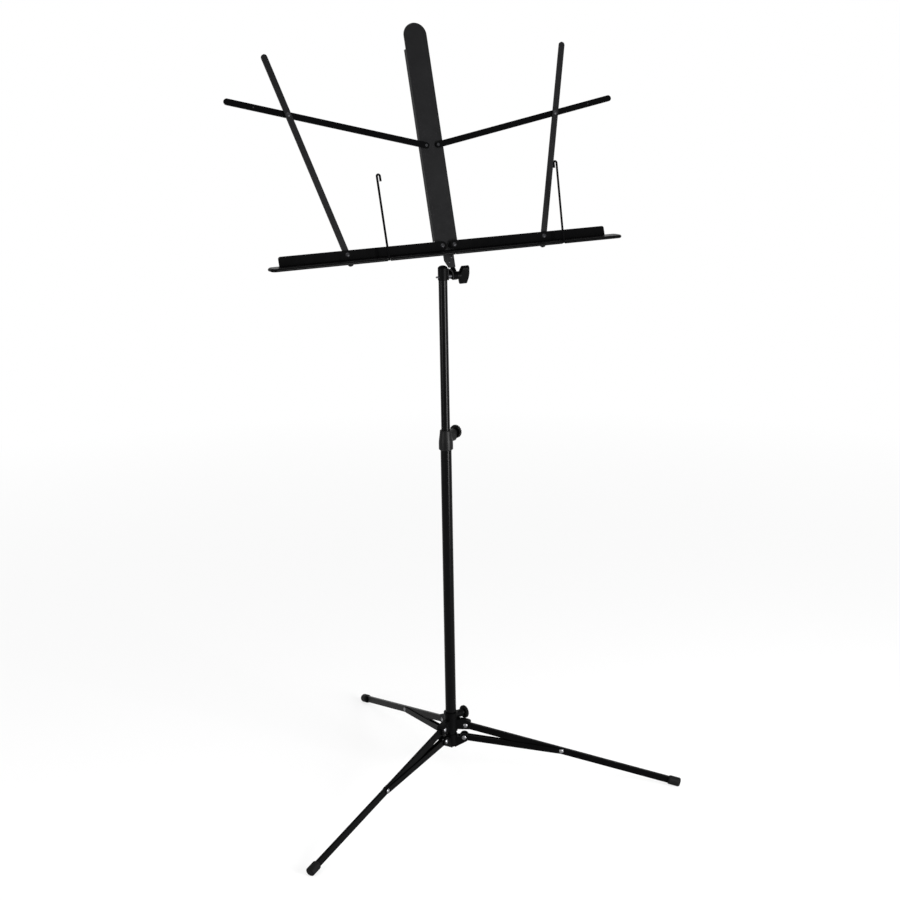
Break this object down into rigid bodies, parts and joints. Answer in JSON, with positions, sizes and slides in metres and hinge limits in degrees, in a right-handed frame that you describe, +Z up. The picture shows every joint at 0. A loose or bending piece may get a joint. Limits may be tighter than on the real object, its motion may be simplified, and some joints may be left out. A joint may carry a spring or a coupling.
{
  "type": "music stand",
  "caption": "Folding music stand: a sliding tripod base, a two-part height column and a tilting desk of hinged ledge halves, scissor arms and wire page retainers.",
  "frame": {"origin": "floor point under the column axis", "axes": "+Z up along the column, -Y towards the reader, X along the ledge, right-hand side of the desk at +X"},
  "size_m": [0.6002, 0.5122, 1.0791],
  "materials": {
    "black_coat": "black powder coat, satin",
    "arm_coat": "black powder coat, satin",
    "moulded_nylon": "fine matt texture",
    "knob_plastic": "fine matt texture",
    "foot_cap": "matt",
    "bright_steel": "zinc plated",
    "dark_rivet": "blackened steel",
    "spring_wire": "black coated spring wire"
  },
  "bodies": {
    "column": {"lower_tube": "black_coat", "tube_hub": "moulded_nylon", "hub_rivets": "bright_steel", "height_sleeve": "moulded_nylon"},
    "collar": {"leg_collar": "moulded_nylon", "collar_rivets": "bright_steel"},
    "collar_knob": {"collar_knob": "knob_plastic", "collar_screw": "bright_steel"},
    "sleeve_knob": {"sleeve_knob": "knob_plastic", "sleeve_screw": "bright_steel"},
    "leg_1": {"leg_1": "black_coat", "foot_1": "foot_cap", "link_pin_1": "bright_steel"},
    "strut_1": {"strut_1": "black_coat", "link_head_1": "bright_steel"},
    "leg_2": {"leg_2": "black_coat", "foot_2": "foot_cap", "link_pin_2": "bright_steel"},
    "strut_2": {"strut_2": "black_coat", "link_head_2": "bright_steel"},
    "leg_3": {"leg_3": "black_coat", "foot_3": "foot_cap", "link_pin_3": "bright_steel"},
    "strut_3": {"strut_3": "black_coat", "link_head_3": "bright_steel"},
    "mast_guide": {"guide_plug": "knob_plastic"},
    "mast": {"upper_tube": "black_coat", "tilt_head": "moulded_nylon", "tilt_bolt": "bright_steel", "spacer_ring": "bright_steel", "outer_washer": "knob_plastic"},
    "wing_knob": {"wing_knob": "knob_plastic"},
    "desk": {"desk_tongue": "black_coat", "tongue_rivets": "bright_steel", "spine": "arm_coat", "ledge_rivets": "dark_rivet", "arm_rivets": "dark_rivet"},
    "ledge_left": {"ledge_left": "black_coat", "steep_rivet_left": "dark_rivet"},
    "steep_arm_left": {"steep_arm_left": "arm_coat", "cross_head_left": "dark_rivet"},
    "shallow_arm_left": {"shallow_arm_left": "black_coat", "cross_rivet_left": "dark_rivet"},
    "retainer_left": {"retainer_left": "spring_wire"},
    "ledge_right": {"ledge_right": "black_coat", "steep_rivet_right": "dark_rivet"},
    "steep_arm_right": {"steep_arm_right": "arm_coat", "cross_head_right": "dark_rivet"},
    "shallow_arm_right": {"shallow_arm_right": "black_coat", "cross_rivet_right": "dark_rivet"},
    "retainer_right": {"retainer_right": "spring_wire"}
  },
  "joints": [
    {"name": "collar_slide", "type": "slide", "parent": "column", "child": "collar", "axis": [0, 0, 1], "range_m": [0, 0.25138]},
    {"name": "collar_knob_turn", "type": "hinge", "parent": "collar", "child": "collar_knob", "pos_m": [0.01821, 0.00328, 0.10368], "axis": [0.9842, 0.1771, 0], "range_deg": [0, 360]},
    {"name": "sleeve_knob_turn", "type": "hinge", "parent": "column", "child": "sleeve_knob", "pos_m": [0.01633, 0.00869, 0.52508], "axis": [0.8829, 0.4695, 0], "range_deg": [0, 360]},
    {"name": "leg_1_swing", "type": "hinge", "parent": "collar", "child": "leg_1", "pos_m": [-0.01851, -0.00992, 0.09048], "axis": [0.4726, -0.8813, 0], "range_deg": [0, 55.72]},
    {"name": "strut_1_swing", "type": "hinge", "parent": "column", "child": "strut_1", "pos_m": [-0.01674, -0.00898, 0.07198], "axis": [-0.4726, 0.8813, 0], "range_deg": [0, 78]},
    {"name": "leg_2_swing", "type": "hinge", "parent": "collar", "child": "leg_2", "pos_m": [0.01785, -0.01107, 0.09048], "axis": [0.527, 0.8499, 0], "range_deg": [0, 55.72]},
    {"name": "strut_2_swing", "type": "hinge", "parent": "column", "child": "strut_2", "pos_m": [0.01615, -0.01001, 0.07198], "axis": [-0.527, -0.8499, 0], "range_deg": [0, 78]},
    {"name": "leg_3_swing", "type": "hinge", "parent": "collar", "child": "leg_3", "pos_m": [0.00066, 0.02099, 0.09048], "axis": [-0.9995, 0.0314, 0], "range_deg": [0, 55.72]},
    {"name": "strut_3_swing", "type": "hinge", "parent": "column", "child": "strut_3", "pos_m": [0.0006, 0.01899, 0.07198], "axis": [0.9995, -0.0314, 0], "range_deg": [0, 78]},
    {"name": "mast_slide", "type": "slide", "parent": "column", "child": "mast_guide", "axis": [0, 0, 1], "range_m": [-0.2, 0.13]},
    {"name": "mast_turn", "type": "hinge", "parent": "mast_guide", "child": "mast", "pos_m": [0, 0, 0.50458], "axis": [0, 0, 1], "continuous": true},
    {"name": "wing_knob_turn", "type": "hinge", "parent": "mast", "child": "wing_knob", "pos_m": [0.0233, 0, 0.74708], "axis": [1, 0, 0], "range_deg": [0, 360]},
    {"name": "desk_tilt", "type": "hinge", "parent": "mast", "child": "desk", "pos_m": [0.0177, 0, 0.74708], "axis": [-1, 0, 0], "range_deg": [-26, 60]},
    {"name": "ledge_left_fold", "type": "hinge", "parent": "desk", "child": "ledge_left", "pos_m": [0.0034, 0.00623, 0.78802], "axis": [0, 0.9578, -0.2874], "range_deg": [0, 90]},
    {"name": "steep_arm_left_fold", "type": "hinge", "parent": "ledge_left", "child": "steep_arm_left", "pos_m": [-0.1369, 0.00718, 0.78773], "axis": [0, 0.9578, -0.2874], "range_deg": [-74.32, 0]},
    {"name": "shallow_arm_left_fold", "type": "hinge", "parent": "desk", "child": "shallow_arm_left", "pos_m": [0.0034, 0.0487, 0.91914], "axis": [0, 0.9578, -0.2874], "range_deg": [0, 75.02]},
    {"name": "retainer_left_swing", "type": "hinge", "parent": "ledge_left", "child": "retainer_left", "pos_m": [-0.0864, -0.01507, 0.78067], "axis": [1, 0, 0], "range_deg": [-7, 95]},
    {"name": "ledge_right_fold", "type": "hinge", "parent": "desk", "child": "ledge_right", "pos_m": [0.0214, 0.00623, 0.78802], "axis": [0, -0.9578, 0.2874], "range_deg": [0, 90]},
    {"name": "steep_arm_right_fold", "type": "hinge", "parent": "ledge_right", "child": "steep_arm_right", "pos_m": [0.1617, 0.00718, 0.78773], "axis": [0, -0.9578, 0.2874], "range_deg": [-74.32, 0]},
    {"name": "shallow_arm_right_fold", "type": "hinge", "parent": "desk", "child": "shallow_arm_right", "pos_m": [0.0214, 0.0487, 0.91914], "axis": [0, -0.9578, 0.2874], "range_deg": [0, 80.02]},
    {"name": "retainer_right_swing", "type": "hinge", "parent": "ledge_right", "child": "retainer_right", "pos_m": [0.181, -0.01507, 0.78067], "axis": [1, 0, 0], "range_deg": [-7, 95]}
  ],
  "couplings": [
    {"joint": "leg_1_swing", "follows": "collar_slide", "rad_per_m": 3.8676},
    {"joint": "strut_1_swing", "follows": "collar_slide", "rad_per_m": 5.4143},
    {"joint": "leg_2_swing", "follows": "collar_slide", "rad_per_m": 3.8676},
    {"joint": "strut_2_swing", "follows": "collar_slide", "rad_per_m": 5.4143},
    {"joint": "leg_3_swing", "follows": "collar_slide", "rad_per_m": 3.8676},
    {"joint": "strut_3_swing", "follows": "collar_slide", "rad_per_m": 5.4143},
    {"joint": "steep_arm_left_fold", "follows": "ledge_left_fold", "ratio": -0.82556},
    {"joint": "shallow_arm_left_fold", "follows": "ledge_left_fold", "ratio": 0.83333},
    {"joint": "steep_arm_right_fold", "follows": "ledge_right_fold", "ratio": -0.82556},
    {"joint": "shallow_arm_right_fold", "follows": "ledge_right_fold", "ratio": 0.88889}
  ]
}
